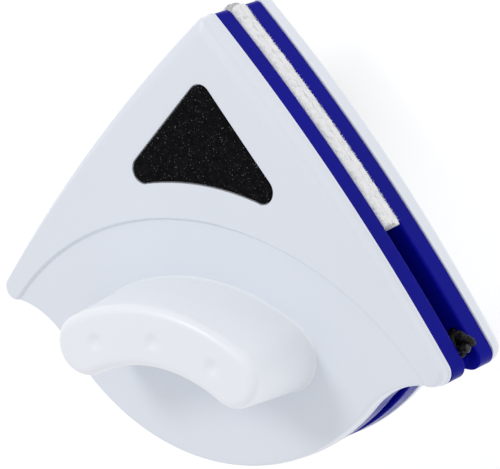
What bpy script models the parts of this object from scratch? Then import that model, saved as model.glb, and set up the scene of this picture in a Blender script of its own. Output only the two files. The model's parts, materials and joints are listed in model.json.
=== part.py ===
"""Magnetic glass cleaner: two matching halves that clamp either side of an aquarium pane.

Lengths are in millimetres until solid() turns them into metres. The plan is a rounded triangle,
apex toward +Y, with a round bulge below it. In a half, heights are measured from the middle of
the pane outward. The outer half is the same half turned over, and rests on its grip.
"""

import math

import bmesh
import bpy
from mathutils import Matrix, Vector

MM = 0.001
GAP = 0.3

# Plan
TRIANGLE_HALF_WIDTH = 84.6
TRIANGLE_HEIGHT = 98.7
SIDE_BULGE = 3.4
APEX_RADIUS = 1.8
CORNER_RADIUS = 4.2
CORNER_Y = 2.2
NOTCH_RADIUS = 27.5
BULGE_RADIUS = 72.0
BULGE_Y = 31.9
MIDDLE = (0.0, 30.0)

# Heights from the middle of the pane
PAD_BACK = 3.65
RIM = 11.15
PLATE_EDGE_TOP = RIM - GAP
FACE = 19.25
GRIP_FACE = 44.45

# The face falls away from its highest line toward the corners and toward each end
CAMBER_X = 2.4
CAMBER_X_REACH = 75.0
CAMBER_Y = 0.7
CAMBER_Y_REACH = 50.0
CAMBER_TOP_Y = 35.0

# Shell
WALL = 2.0
APEX_RIDGE_INSET = 3.7
CORNER_RIDGE_INSET = 0.8
LOWER_STEP = 1.0
STEP_RADIUS = 96.5
STEP_CENTRE_Y = -60.2
RECESS_DEPTH = 1.6
RECESS_RADIUS = 4.0
RECESS_TOP = (0.0, 73.8)
RECESS_CORNER = (21.7, 49.2)
RECESS_BOTTOM_SAG = 2.7

# Base plate
PLATE_INSET = 0.3
PLATE_FLOOR = 2.5
PLATE_CHAMFER = 0.7
LUG = (76.5, 1.4)
LUG_RADIUS = 1.5

# Handle
GRIP_CENTRE_Y = -48.7
GRIP_MID_RADIUS = 55.9
GRIP_END_ANGLE = math.radians(29.6)
GRIP_HALF_DEPTH = 9.2
GRIP_DRAFT = 2.0
GRIP_FILLET = 3.0
GRIP_CAVITY_ANGLE = math.radians(17)
GRIP_CAVITY_WALL = 4.0
DIMPLE_RADIUS = 6.5
DIMPLE_DEPTH = 0.7
DIMPLES = ((-21.8, 2.4), (0.0, 6.2), (21.8, 2.4))

# Fixings and magnets
MAGNET_RADIUS = 12.0
MAGNET_THICKNESS = 6.0
MAGNET_X = 15.0
MAGNET_ROWS_Y = {"lower": -15.5, "upper": 20.0}
YOKE = (54.0, 22.0, 1.7)
HANDLE_SCREW = (25.5, 3.2)
PLATE_SCREWS = {"apex": (0.0, 60.0), "right": (42.0, 0.0), "left": (-42.0, 0.0), "bottom": (0.0, -31.5)}
BOSS_RADIUS = 3.6
SHAFT_RADIUS = 1.5
SCREW_HEAD_RADIUS = 3.0
SCREW_HEAD_HEIGHT = 1.6

# Strips on the glass side
FLEECE_WIDTH = 13.0
FLEECE_START = 0.7
FLEECE_END = 80.0
WIPER_WIDTH = 3.0
WIPER_OFFSET = 16.5
WIPER_START = 2.0
WIPER_END = 100.0

# Safety cord, on the outer half. Its plan is seen from the front and its heights are above the floor.
CORD_RADIUS = 1.5
CORD_HOLE = (73.2, 8.6)
CORD_BOSS_RADIUS = 3.0
KNOT_CENTRE = (76.9, 7.4)
KNOT_HALF_WIDTH = 5.0
KNOT_HALF_DEPTH = 4.2
CORD_DROP = (
    (73.1, 7.6, 25.9),
    (72.2, 5.2, 23.0),
    (70.6, 2.5, 19.9),
    (68.4, -0.2, 16.3),
    (65.6, -2.8, 12.1),
    (62.6, -4.8, 7.8),
    (59.2, -5.8, 3.9),
)
CORD_ROUTE = ((54.8, -4.6), (50.2, -1.2), (45.2, 4.4), (39.0, 14.0), (31.0, 27.0), (22.0, 38.5))
COIL_CENTRE = (-11.5, 47.0)
COIL_MID_RADIUS = 16.5
COIL_WIDTH = 15.0
COIL_HEIGHT = 9.0
COIL_LIFT = 1.3
TIE_THICKNESS = 0.8
TIE_WIDTH = 4.0
TOGGLE_RADIUS = 4.0
TOGGLE_HEIGHT = 10.0

MAGNET_Z = PAD_BACK + PLATE_FLOOR + GAP
YOKE_Z = MAGNET_Z + MAGNET_THICKNESS + GAP
ROOF_DROP = LOWER_STEP + WALL


# Outlines in the plan

def angle_of(vector):
    return math.atan2(vector.y, vector.x)


def crossing(first, first_radius, second, second_radius, side):
    """A point where two circles cross: the one to the left (side 1) or right (-1) of first to second."""
    across = second - first
    distance = across.length
    along = (first_radius ** 2 - second_radius ** 2 + distance ** 2) / (2 * distance)
    off = math.sqrt(first_radius ** 2 - along ** 2)
    across.normalize()
    return first + across * along + Vector((-across.y, across.x)) * off * side


def arc_points(centre, radius, start, end, steps):
    """Points on an arc, without its last one."""
    turns = [start + (end - start) * i / steps for i in range(steps)]
    return [centre + Vector((math.cos(t), math.sin(t))) * radius for t in turns]


def side_arc(apex_inset=0.0, corner_inset=0.0):
    """Centre and radius of the long right side, moved inward by its own amount at each end."""
    apex = Vector((0.0, TRIANGLE_HEIGHT))
    corner = Vector((TRIANGLE_HALF_WIDTH, 0.0))
    outward = Vector((TRIANGLE_HEIGHT, TRIANGLE_HALF_WIDTH)).normalized()
    apex -= outward * apex_inset
    corner -= outward * corner_inset
    chord = corner - apex
    radius = (chord.length_squared / 4 + SIDE_BULGE ** 2) / (2 * SIDE_BULGE)
    outward = Vector((-chord.y, chord.x)).normalized()
    return (apex + corner) / 2 - outward * (radius - SIDE_BULGE), radius


def notch_centre():
    """Centre of the hollow between a lower corner and the bulge."""
    side, side_radius = side_arc()
    reach = side_radius - CORNER_RADIUS
    corner = Vector((side.x + math.sqrt(reach ** 2 - (CORNER_Y - side.y) ** 2), CORNER_Y))
    bulge = Vector((0.0, BULGE_Y))
    return crossing(corner, CORNER_RADIUS + NOTCH_RADIUS, bulge, BULGE_RADIUS + NOTCH_RADIUS, 1)


def plan_outline(apex_inset=0.0, corner_inset=0.0, apex_radius=APEX_RADIUS, corner_radius=CORNER_RADIUS):
    """The whole outline, clockwise from the apex, always with the same number of points."""
    side, side_radius = side_arc(apex_inset, corner_inset)
    notch = notch_centre()
    notch_radius = NOTCH_RADIUS + corner_inset
    bulge = Vector((0.0, BULGE_Y))
    reach = side_radius - apex_radius
    apex = Vector((0.0, side.y + math.sqrt(reach ** 2 - side.x ** 2)))
    corner = crossing(side, side_radius - corner_radius, notch, notch_radius + corner_radius, 1)
    right = arc_points(apex, apex_radius, math.pi / 2, angle_of(apex - side), 3)
    right += arc_points(side, side_radius, angle_of(apex - side), angle_of(corner - side), 9)
    right += arc_points(corner, corner_radius, angle_of(corner - side), angle_of(notch - corner), 6)
    right += arc_points(notch, notch_radius, angle_of(corner - notch), angle_of(bulge - notch), 6)
    right += arc_points(bulge, BULGE_RADIUS - corner_inset, angle_of(notch - bulge), -math.pi / 2, 9)
    bottom = Vector((0.0, BULGE_Y - BULGE_RADIUS + corner_inset))
    left = [Vector((-p.x, p.y)) for p in reversed(right[1:])]
    return right + [bottom] + left


def face_height(point):
    """Height of the upper face, which is a shallow dome."""
    across = (point.x / CAMBER_X_REACH) ** 2
    along = ((point.y - CAMBER_TOP_Y) / CAMBER_Y_REACH) ** 2
    return FACE - CAMBER_X * across - CAMBER_Y * along


def below_face(drop):
    """A height that follows the face at some distance under it."""
    return lambda point: face_height(point) - drop


def below_roof(point):
    """Where the inner walls of the shell meet the roof's slope, always above the rim."""
    return max(RIM + 0.2, face_height(point) - ROOF_DROP - 2.0)


def face_loops(outline, drop):
    """Loops that close a domed surface from its outline inward."""
    middle = Vector(MIDDLE)
    return [([middle + (p - middle) * scale for p in outline], below_face(drop)) for scale in (0.8, 0.6, 0.4, 0.2)]


def grip_outline(grow, half_angle=GRIP_END_ANGLE):
    """The crescent of the handle, grown outward all round."""
    centre = Vector((0.0, GRIP_CENTRE_Y))
    across = math.pi / 2
    end_radius = GRIP_HALF_DEPTH + grow
    right_end = centre + Vector((math.sin(half_angle), math.cos(half_angle))) * GRIP_MID_RADIUS
    left_end = Vector((-right_end.x, right_end.y))
    outer = GRIP_MID_RADIUS + end_radius
    inner = GRIP_MID_RADIUS - end_radius
    points = arc_points(centre, outer, across + half_angle, across - half_angle, 12)
    points += arc_points(right_end, end_radius, across - half_angle, across - half_angle - math.pi, 10)
    points += arc_points(centre, inner, across - half_angle, across + half_angle, 12)
    points += arc_points(left_end, end_radius, across + half_angle + math.pi, across + half_angle, 10)
    return points


def recess_outline(grow=0.0):
    """The rounded triangle of the black pad, clockwise from its apex. Its lower edge is hollow."""
    top = Vector(RECESS_TOP)
    right = Vector(RECESS_CORNER)
    side = right - top
    facing = angle_of(Vector((-side.y, side.x)))
    radius = RECESS_RADIUS + grow
    tuck = 2 * RECESS_BOTTOM_SAG / right.x
    points = arc_points(top, radius, math.pi / 2, facing, 4)
    points += arc_points(right, radius, facing, -math.pi / 2 - tuck, 6)
    for i in range(6):
        x = (right.x - radius * math.sin(tuck)) * (1 - i / 6)
        rise = RECESS_BOTTOM_SAG * (1 - (x / right.x) ** 2)
        points.append(Vector((x, right.y - radius + rise)))
    points.append(Vector((0.0, right.y - radius + RECESS_BOTTOM_SAG)))
    left = [Vector((-p.x, p.y)) for p in reversed(points[1:-1])]
    return points + left


def circle(centre, radius, steps=24):
    return arc_points(Vector(centre), radius, 0.0, -2 * math.pi, steps)


def plan_middle():
    """The y halfway between the apex and the bottom of the bulge, which becomes y = 0."""
    heights = [p.y for p in plan_outline()]
    return (max(heights) + min(heights)) / 2


PLAN_MIDDLE_Y = plan_middle()


def rectangle(centre, width, depth):
    x, y = centre
    return [
        Vector((x - width / 2, y + depth / 2)),
        Vector((x + width / 2, y + depth / 2)),
        Vector((x + width / 2, y - depth / 2)),
        Vector((x - width / 2, y - depth / 2)),
    ]


# Solids

class Side:
    """One half, or the cord: its name, its place, and the collections and materials it uses."""

    def __init__(self, name, place, turned, parts, cutters, materials):
        self.name = name
        self.place = place
        self.turned = turned
        self.parts = parts
        self.cutters = cutters
        self.materials = materials

    def hand(self, x):
        """left or right as seen from the front, for something at x in the half's own plan."""
        return "right" if (x > 0) != self.turned else "left"


def solid(side, name, loops, material=None):
    """A closed body through a chain of equal loops of (outline, height), capped at both ends.

    A height is a number, or a function of the point.
    """
    shape = bmesh.new()
    rings = []
    for outline, height in loops:
        heights = [height(p) if callable(height) else height for p in outline]
        points = [(p.x * MM, (p.y - PLAN_MIDDLE_Y) * MM, z * MM) for p, z in zip(outline, heights)]
        rings.append([shape.verts.new(point) for point in points])
    for low, high in zip(rings, rings[1:]):
        for i in range(len(low)):
            after = (i + 1) % len(low)
            shape.faces.new((low[i], low[after], high[after], high[i]))
    shape.faces.new(rings[0])
    shape.faces.new(rings[-1])
    return finished(side, name, shape, material)


def finished(side, name, shape, material):
    """The bmesh as an object in its half. Without a material it is a cutter."""
    bmesh.ops.recalc_face_normals(shape, faces=shape.faces)
    mesh = bpy.data.meshes.new(name)
    shape.to_mesh(mesh)
    shape.free()
    mesh.shade_smooth()
    mesh.set_sharp_from_angle(angle=math.radians(32))
    body = bpy.data.objects.new(name, mesh)
    body.matrix_world = side.place
    if material:
        mesh.materials.append(side.materials[material])
        side.parts.objects.link(body)
    else:
        body.hide_render = True
        body.display_type = "WIRE"
        side.cutters.objects.link(body)
    return body


def combine(body, other, operation):
    step = body.modifiers.new(other.name, "BOOLEAN")
    step.operation = operation
    step.object = other
    step.solver = "EXACT"


def cylinder(side, name, centre, radius, low, high, material=None, steps=24):
    outline = circle(centre, radius, steps)
    return solid(side, name, [(outline, low), (outline, high)], material)


# Pieces of a half

def make_shell(side):
    """The white cover: a hollow cup whose sides roll into a sloped band and a domed face."""
    name = f"{side.name}_shell"
    inside = WALL + 0.1
    roof = plan_outline(5.0, 3.4, 1.0, 2.0)
    face = plan_outline(APEX_RIDGE_INSET + 0.7, CORNER_RIDGE_INSET + 0.6, 1.3, 3.4)
    loops = face_loops(roof, ROOF_DROP)[::-1]
    loops += [
        (roof, below_face(ROOF_DROP)),
        (plan_outline(inside, inside, 1.0, 2.2), below_roof),
        (plan_outline(inside, inside, 1.0, 2.2), RIM),
        (plan_outline(), RIM),
        (plan_outline(), RIM + 1.0),
        (plan_outline(0.3, 0.2), RIM + 1.3),
        (plan_outline(0.4, 0.3), below_face(2.4)),
        (plan_outline(0.75, 0.4), below_face(1.5)),
        (plan_outline(1.4, 0.6), below_face(0.95)),
        (plan_outline(APEX_RIDGE_INSET, CORNER_RIDGE_INSET, 1.5, 3.6), below_face(0.15)),
        (face, below_face(0.0)),
    ]
    loops += face_loops(face, 0.0)
    shell = solid(side, name, loops, "white_plastic")
    for place, centre in PLATE_SCREWS.items():
        top = face_height(Vector(centre)) - ROOF_DROP + 0.6
        boss = cylinder(side, f"{name}_boss_{place}", centre, BOSS_RADIUS, MAGNET_Z, top)
        combine(shell, boss, "UNION")
        bore = cylinder(side, f"{name}_bore_{place}", centre, SHAFT_RADIUS + GAP, 0.0, top - 1.6, steps=16)
        combine(shell, bore, "DIFFERENCE")
    for x in (-HANDLE_SCREW[0], HANDLE_SCREW[0]):
        hole = cylinder(
            side, f"{name}_hole_{side.hand(x)}", (x, HANDLE_SCREW[1]), SHAFT_RADIUS + GAP, 0.0, FACE + 5.0, steps=16
        )
        combine(shell, hole, "DIFFERENCE")
    combine(shell, domed_slab(side, f"{name}_step", LOWER_STEP, FACE + 5.0), "DIFFERENCE")
    recess = recess_outline(GAP)
    pocket = solid(side, f"{name}_recess", [(recess, FACE - RECESS_DEPTH), (recess, FACE + 5.0)])
    combine(shell, pocket, "DIFFERENCE")
    if side.turned:
        cord_hole(side, shell, RIM, face_height(Vector(CORD_HOLE)) - ROOF_DROP + 0.6)
    return shell


def domed_slab(side, name, drop, level):
    """A cutter under the step: between the dome at some distance under the face, and a flat level."""
    shape = bmesh.new()
    half_width = TRIANGLE_HALF_WIDTH + 4.0
    low_y = BULGE_Y - BULGE_RADIUS - 4.0
    columns, rows = 28, 7
    grid = []
    for column in range(columns + 1):
        x = half_width * (2 * column / columns - 1)
        high_y = STEP_CENTRE_Y + math.sqrt(STEP_RADIUS ** 2 - x ** 2)
        spots = [Vector((x, low_y + (high_y - low_y) * row / rows)) for row in range(rows + 1)]
        heights = [(p, face_height(p) - drop) for p in spots]
        grid.append([shape.verts.new((p.x * MM, (p.y - PLAN_MIDDLE_Y) * MM, z * MM)) for p, z in heights])
    for left, right in zip(grid, grid[1:]):
        for row in range(rows):
            shape.faces.new((left[row], right[row], right[row + 1], left[row + 1]))
    moved = bmesh.ops.extrude_face_region(shape, geom=shape.faces[:])
    for corner in moved["geom"]:
        if isinstance(corner, bmesh.types.BMVert):
            corner.co.z = level * MM
    return finished(side, name, shape, None)


def make_pad(side):
    """The black rounded triangle let into the face."""
    top = face_height(Vector(RECESS_CORNER)) - 0.1
    loops = [
        (recess_outline(), FACE - RECESS_DEPTH + GAP),
        (recess_outline(), top - 0.3),
        (recess_outline(-0.4), top),
    ]
    return solid(side, f"{side.name}_pad", loops, "black_foam")


def make_handle(side):
    """The crescent grip: drafted walls, a rounded edge, three thumb dimples and a hollow middle."""
    name = f"{side.name}_handle"
    wall_top = GRIP_FACE - GRIP_FILLET
    shrink = GRIP_DRAFT / (GRIP_FACE - FACE)
    low = FACE - 4.0
    loops = [(grip_outline(shrink * (GRIP_FACE - low)), low), (grip_outline(shrink * GRIP_FILLET), wall_top)]
    for turn in (30, 60, 90):
        around = math.radians(turn)
        inset = GRIP_FILLET * (1 - math.cos(around)) - shrink * GRIP_FILLET
        loops.append((grip_outline(-inset), wall_top + GRIP_FILLET * math.sin(around)))
    handle = solid(side, name, loops, "grip_plastic")
    combine(handle, domed_slab(side, f"{name}_seat", LOWER_STEP - GAP, FACE - 12.0), "DIFFERENCE")
    hollow = [
        (grip_outline(-1.5, GRIP_CAVITY_ANGLE), FACE - 5.0),
        (grip_outline(-GRIP_CAVITY_WALL, GRIP_CAVITY_ANGLE), GRIP_FACE - 3.5),
    ]
    combine(handle, solid(side, f"{name}_hollow", hollow), "DIFFERENCE")
    for x in (-HANDLE_SCREW[0], HANDLE_SCREW[0]):
        bore = cylinder(
            side, f"{name}_bore_{side.hand(x)}", (x, HANDLE_SCREW[1]), SHAFT_RADIUS + GAP, 0.0, FACE + 10.5, steps=16
        )
        combine(handle, bore, "DIFFERENCE")
    sphere_radius = (DIMPLE_RADIUS ** 2 / 4 + DIMPLE_DEPTH ** 2) / (2 * DIMPLE_DEPTH)
    for i, centre in enumerate(DIMPLES):
        loops = []
        for turn in (5, 8, 12, 18, 40, 90):
            around = math.radians(turn)
            height = GRIP_FACE - DIMPLE_DEPTH + sphere_radius * (1 - math.cos(around))
            loops.append((circle(centre, sphere_radius * math.sin(around), 20), height))
        combine(handle, solid(side, f"{name}_dimple_{i + 1}", loops), "DIFFERENCE")
    return handle


def make_base_plate(side):
    """The blue tray on the glass side, with a small lug at each lower corner and screw pockets."""
    name = f"{side.name}_base_plate"
    inner = PLATE_INSET + WALL
    loops = [
        (plan_outline(inner, inner, 1.0, 2.0), PAD_BACK + PLATE_FLOOR),
        (plan_outline(inner, inner, 1.0, 2.0), PLATE_EDGE_TOP),
        (plan_outline(PLATE_INSET, PLATE_INSET, 2.0, 3.6), PLATE_EDGE_TOP),
        (plan_outline(PLATE_INSET, PLATE_INSET, 2.0, 3.6), PAD_BACK + PLATE_CHAMFER),
        (plan_outline(PLATE_INSET + PLATE_CHAMFER, PLATE_INSET + PLATE_CHAMFER, 1.6, 3.2), PAD_BACK),
    ]
    plate = solid(side, name, loops, "blue_plastic")
    for place, centre in PLATE_SCREWS.items():
        hole = cylinder(side, f"{name}_hole_{place}", centre, SHAFT_RADIUS + GAP, 0.0, MAGNET_Z + 2.0, steps=16)
        pocket = cylinder(
            side,
            f"{name}_pocket_{place}",
            centre,
            SCREW_HEAD_RADIUS + GAP,
            0.0,
            PAD_BACK + SCREW_HEAD_HEIGHT + GAP,
            steps=20,
        )
        combine(plate, hole, "DIFFERENCE")
        combine(plate, pocket, "DIFFERENCE")
    for x in (-1, 1):
        lug = corner_lug(side, f"{name}_lug_{side.hand(x)}", x)
        combine(plate, lug, "UNION")
    if side.turned:
        cord_hole(side, plate, PAD_BACK + 1.0, PLATE_EDGE_TOP)
    return plate


def cord_hole(side, body, low, high):
    """A solid post in the corner of the outer half, bored for the safety cord."""
    centre = (-CORD_HOLE[0], CORD_HOLE[1])
    post = cylinder(side, f"{body.name}_cord_post", centre, CORD_BOSS_RADIUS, low, high)
    combine(body, post, "UNION")
    bore = cylinder(side, f"{body.name}_cord_bore", centre, CORD_RADIUS + GAP, 0.0, FACE + 5.0, steps=16)
    combine(body, bore, "DIFFERENCE")


def corner_lug(side, name, hand):
    """A raised tab at a lower corner that keeps the two plates parallel."""
    outline = circle((LUG[0] * hand, LUG[1]), LUG_RADIUS, 12)
    return solid(side, name, [(outline, GAP / 2), (outline, PAD_BACK + 1.0)])


def along_side(centre, radius, start, end, steps=10):
    """Points along an arc beside the right side, between two distances from the middle line."""
    first = math.pi / 2 - math.asin(-centre.x / radius)
    return arc_points(centre, radius, first - start / radius, first - end / radius, steps) + arc_points(
        centre, radius, first - end / radius, 0.0, 1
    )


def make_strip(side, name, hand, offset, width, start, end, material):
    """A strip that follows a long side of the triangle. Its upper end is mitred to the middle line."""
    centre, radius = side_arc(offset, offset)
    outer = along_side(centre, radius, start, end)
    inner_end = outer[-1] + (centre - outer[-1]).normalized() * width
    inner_length = (inner_end - along_side(centre, radius - width, 0.0, 1.0)[0]).length
    inner = along_side(centre, radius - width, start, inner_length)
    outline = [Vector((p.x * hand, p.y)) for p in outer + inner[::-1]]
    return solid(side, name, [(outline, GAP / 2), (outline, PAD_BACK - GAP)], material)


def make_strips(side):
    for hand in (-1, 1):
        label = side.hand(hand)
        make_strip(
            side,
            f"{side.name}_fleece_{label}",
            hand,
            PLATE_INSET + 0.2,
            FLEECE_WIDTH,
            FLEECE_START,
            FLEECE_END,
            "white_fleece",
        )
        make_strip(
            side,
            f"{side.name}_wiper_{label}",
            hand,
            PLATE_INSET + WIPER_OFFSET,
            WIPER_WIDTH,
            WIPER_START,
            WIPER_END,
            "black_rubber",
        )


def make_magnets(side):
    """Four disc magnets on two steel yoke bars, below the handle."""
    for row, y in MAGNET_ROWS_Y.items():
        for x in (-MAGNET_X, MAGNET_X):
            name = f"{side.name}_magnet_{row}_{side.hand(x)}"
            top = MAGNET_Z + MAGNET_THICKNESS
            cylinder(side, name, (x, y), MAGNET_RADIUS, MAGNET_Z, top, "nickel")
        width, depth, thickness = YOKE
        bar = rectangle((0.0, y), width, depth)
        loops = [(bar, YOKE_Z), (bar, YOKE_Z + thickness)]
        solid(side, f"{side.name}_yoke_{row}", loops, "steel")


def make_screw(side, name, centre, head_low, head_high, tip):
    """A pan-head screw. The shaft runs from the head toward tip."""
    shaft_start = head_high if tip > head_high else head_low
    head_end = head_low if tip > head_high else head_high
    loops = [
        (circle(centre, SCREW_HEAD_RADIUS * 0.75, 12), head_end),
        (circle(centre, SCREW_HEAD_RADIUS, 12), head_end + (shaft_start - head_end) * 0.4),
        (circle(centre, SCREW_HEAD_RADIUS, 12), shaft_start),
        (circle(centre, SHAFT_RADIUS, 12), shaft_start),
        (circle(centre, SHAFT_RADIUS, 12), tip),
    ]
    solid(side, name, loops, "steel")


def make_screws(side):
    head_low = PAD_BACK
    for place, centre in PLATE_SCREWS.items():
        label = side.hand(centre[0]) if centre[0] else place
        name = f"{side.name}_plate_screw_{label}"
        tip = face_height(Vector(centre)) - ROOF_DROP - 1.4
        make_screw(side, name, centre, head_low, head_low + SCREW_HEAD_HEIGHT, tip)
    for x in (-HANDLE_SCREW[0], HANDLE_SCREW[0]):
        name = f"{side.name}_handle_screw_{side.hand(x)}"
        centre = (x, HANDLE_SCREW[1])
        head_high = face_height(Vector(centre)) - ROOF_DROP - GAP - 0.1
        make_screw(side, name, centre, head_high - SCREW_HEAD_HEIGHT, head_high, FACE + 9.0)


# Safety cord

def smooth_route(points, spacing):
    """Points about spacing apart on a Catmull-Rom curve through the route."""
    ends = [points[0] * 2 - points[1]] + points + [points[-1] * 2 - points[-2]]
    route = []
    for before, start, end, after in zip(ends, ends[1:], ends[2:], ends[3:]):
        steps = max(1, round((end - start).length / spacing))
        for i in range(steps):
            t = i / steps
            bend = 2 * before - 5 * start + 4 * end - after
            twist = 3 * (start - end) + after - before
            route.append(start + (t * (end - before) + t * t * bend + t ** 3 * twist) / 2)
    return route + [points[-1]]


def tube(side, name, points):
    """A cord of round section along a route of (x, y, height)."""
    curve = bpy.data.curves.new(name, "CURVE")
    curve.dimensions = "3D"
    curve.bevel_depth = CORD_RADIUS * MM
    curve.bevel_resolution = 2
    curve.use_fill_caps = True
    line = curve.splines.new("POLY")
    line.points.add(len(points) - 1)
    for spot, point in zip(line.points, points):
        spot.co = (point.x * MM, (point.y - PLAN_MIDDLE_Y) * MM, point.z * MM, 1.0)
    curve.materials.append(side.materials["black_cord"])
    body = bpy.data.objects.new(name, curve)
    side.parts.objects.link(body)


def turned(side, name, centre, profile, steps=24, material="black_cord"):
    """A solid of revolution about a vertical axis, through (radius, height) pairs."""
    loops = [(circle(centre, radius, steps), height) for radius, height in profile]
    return solid(side, name, loops, material)


def make_knot(side):
    """The knot on the glass side of the outer half, squeezed between the two plates."""
    low = GRIP_FACE - PAD_BACK + GAP
    high = GRIP_FACE + PAD_BACK - GAP
    loops = []
    for scale, height in ((0.8, low), (0.96, low + 1.3), (1.0, GRIP_FACE), (0.96, high - 1.3), (0.8, high)):
        round_outline = circle((0.0, 0.0), scale, 18)
        outline = [Vector((p.x * KNOT_HALF_WIDTH, p.y * KNOT_HALF_DEPTH)) + Vector(KNOT_CENTRE) for p in round_outline]
        loops.append((outline, height))
    solid(side, "cord_knot", loops, "black_cord")


def make_lead(side):
    """The cord from under the knot, down through the corner and along the floor to the coil."""
    floor = CORD_RADIUS + 0.1
    x, y = CORD_HOLE
    top = GRIP_FACE - PAD_BACK - 0.05
    straight = [Vector((x, y, height)) for height in (top, 0.85 * top, 0.7 * top)]
    bend = [Vector(spot) for spot in CORD_DROP]
    ground = [Vector((*spot, floor)) for spot in CORD_ROUTE]
    coil_x, coil_y = COIL_CENTRE
    edge = coil_x + COIL_MID_RADIUS + COIL_WIDTH / 2 + GAP
    end = [Vector((edge + 4.0, coil_y, floor + COIL_LIFT)), Vector((edge, coil_y, floor + COIL_LIFT))]
    tube(side, "cord_lead", smooth_route(straight + bend + ground + end, 3.5 * CORD_RADIUS))


def make_coil(side):
    """The rest of the cord as one ring of turns, with its tie and the toggle at its far end."""
    inner = COIL_MID_RADIUS - COIL_WIDTH / 2
    outer = COIL_MID_RADIUS + COIL_WIDTH / 2
    coil = turned(side, "cord_coil", COIL_CENTRE, ((outer, COIL_LIFT), (outer, COIL_LIFT + COIL_HEIGHT)), 40)
    core = cylinder(side, "cord_coil_core", COIL_CENTRE, inner, 0.0, COIL_LIFT + COIL_HEIGHT + 5.0, steps=40)
    combine(coil, core, "DIFFERENCE")
    toggle = ((0.7 * TOGGLE_RADIUS, 0.1), (TOGGLE_RADIUS, 1.4), (TOGGLE_RADIUS, 8.8), (0.7 * TOGGLE_RADIUS, TOGGLE_HEIGHT))
    turned(side, "cord_toggle", COIL_CENTRE, toggle, 20)
    coil_x, coil_y = COIL_CENTRE
    tail_z = COIL_LIFT + CORD_RADIUS + 2.0
    start = Vector((coil_x, coil_y + inner - GAP, tail_z))
    end = Vector((coil_x, coil_y + TOGGLE_RADIUS + GAP, tail_z))
    tube(side, "cord_tail", [start, (start + end) / 2, end])


def make_tie(side):
    """A flat band round the coil's turns."""
    x = COIL_CENTRE[0] - COIL_MID_RADIUS
    middle = (x, COIL_CENTRE[1])
    inner = COIL_WIDTH + 2 * GAP + 0.4
    outer = inner + 2 * TIE_THICKNESS
    height = COIL_LIFT + COIL_HEIGHT + GAP
    low = COIL_LIFT - GAP - TIE_THICKNESS
    band = rectangle(middle, outer, TIE_WIDTH)
    tie = solid(side, "cord_tie", [(band, low), (band, height + TIE_THICKNESS)], "black_cord")
    window = rectangle(middle, inner, TIE_WIDTH + 2.0)
    gap = solid(side, "cord_tie_window", [(window, COIL_LIFT - GAP), (window, height)])
    combine(tie, gap, "DIFFERENCE")


def make_cord(side):
    make_knot(side)
    make_lead(side)
    make_coil(side)
    make_tie(side)


def make_half(side):
    make_shell(side)
    make_pad(side)
    make_handle(side)
    make_base_plate(side)
    make_strips(side)
    make_magnets(side)
    make_screws(side)


# Materials and scene

def make_materials():
    looks = {
        "white_plastic": ((0.86, 0.88, 0.92), 0.35, 0.0),
        "grip_plastic": ((0.9, 0.91, 0.92), 0.32, 0.0),
        "blue_plastic": ((0.008, 0.01, 0.2), 0.3, 0.0),
        "black_foam": ((0.012, 0.011, 0.011), 0.9, 0.0),
        "white_fleece": ((0.85, 0.85, 0.84), 0.95, 0.0),
        "black_rubber": ((0.02, 0.02, 0.02), 0.6, 0.0),
        "black_cord": ((0.015, 0.015, 0.016), 0.7, 0.0),
        "nickel": ((0.6, 0.59, 0.56), 0.25, 1.0),
        "steel": ((0.5, 0.5, 0.5), 0.35, 1.0),
    }
    made = {}
    for name, (colour, roughness, metallic) in looks.items():
        material = bpy.data.materials.new(name)
        material.use_nodes = True
        shader = material.node_tree.nodes["Principled BSDF"]
        shader.inputs["Base Color"].default_value = (*colour, 1.0)
        shader.inputs["Roughness"].default_value = roughness
        shader.inputs["Metallic"].default_value = metallic
        made[name] = material
    return made


def clear_scene():
    for old in list(bpy.data.objects):
        bpy.data.objects.remove(old)


def new_collection(name):
    made = bpy.data.collections.new(name)
    bpy.context.scene.collection.children.link(made)
    return made


def main():
    clear_scene()
    parts = new_collection("magnetic_glass_cleaner")
    cutters = new_collection("cutters")
    materials = make_materials()
    middle = Matrix.Translation((0.0, 0.0, GRIP_FACE * MM))
    over = middle @ Matrix.Rotation(math.pi, 4, "Y")
    make_half(Side("inner", middle, False, parts, cutters, materials))
    make_half(Side("outer", over, True, parts, cutters, materials))
    make_cord(Side("cord", Matrix.Identity(4), False, parts, cutters, materials))


main()
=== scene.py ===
"""The looks of a magnetic glass cleaner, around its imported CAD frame.

Two matching halves lie clamped together, each a white domed shell with a crescent grip, a black foam pad
and a blue base plate that carries fleece strips and wiper blades. A black safety cord leaves the outer
half, which is the lower one, and its unseen length lies coiled on the floor under it.

Sizes are millimetres in the plan of one half: x to the right, y toward the apex from the line through the
lower corners, and heights from the middle of the pane gap. Half.place() and cord_place() make them metres.
"""

import json
import math

import bmesh
import bpy
import numpy as np
from mathutils import Matrix, Vector, geometry, noise

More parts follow.
